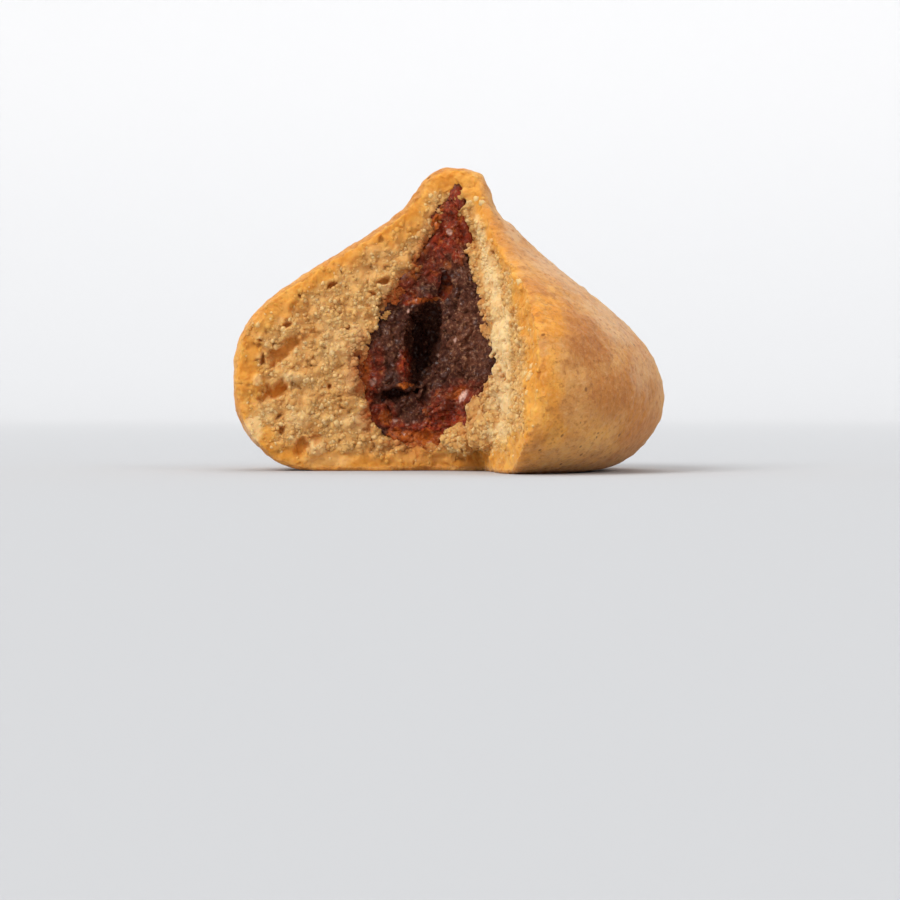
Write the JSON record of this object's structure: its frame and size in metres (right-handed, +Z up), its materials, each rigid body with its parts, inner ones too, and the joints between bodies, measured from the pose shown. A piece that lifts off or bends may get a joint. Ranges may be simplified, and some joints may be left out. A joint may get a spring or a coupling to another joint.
{
  "type": "broken maamoul cookie",
  "caption": "Small kiss-shaped baked cookie with a pinched tip and a flat base, broken open at the front so that its crumbly inside and dark date paste filling show.",
  "frame": {"origin": "middle of the flat base, under the belly of the whole cookie", "axes": "+Z up through the pinched tip, -Y towards the broken side that shows the filling, +X to the right when the broken side is seen from the front"},
  "size_m": [0.04, 0.0383, 0.0282],
  "materials": {
    "baked_pastry": "baked semolina shortbread: matte golden-orange crust outside, pale cream granular crumb where it is broken",
    "date_paste": "sticky dark brown date paste, redder and glossier where it is thin"
  },
  "bodies": {
    "root": {"pastry": "baked_pastry", "filling": "date_paste"}
  },
  "joints": []
}
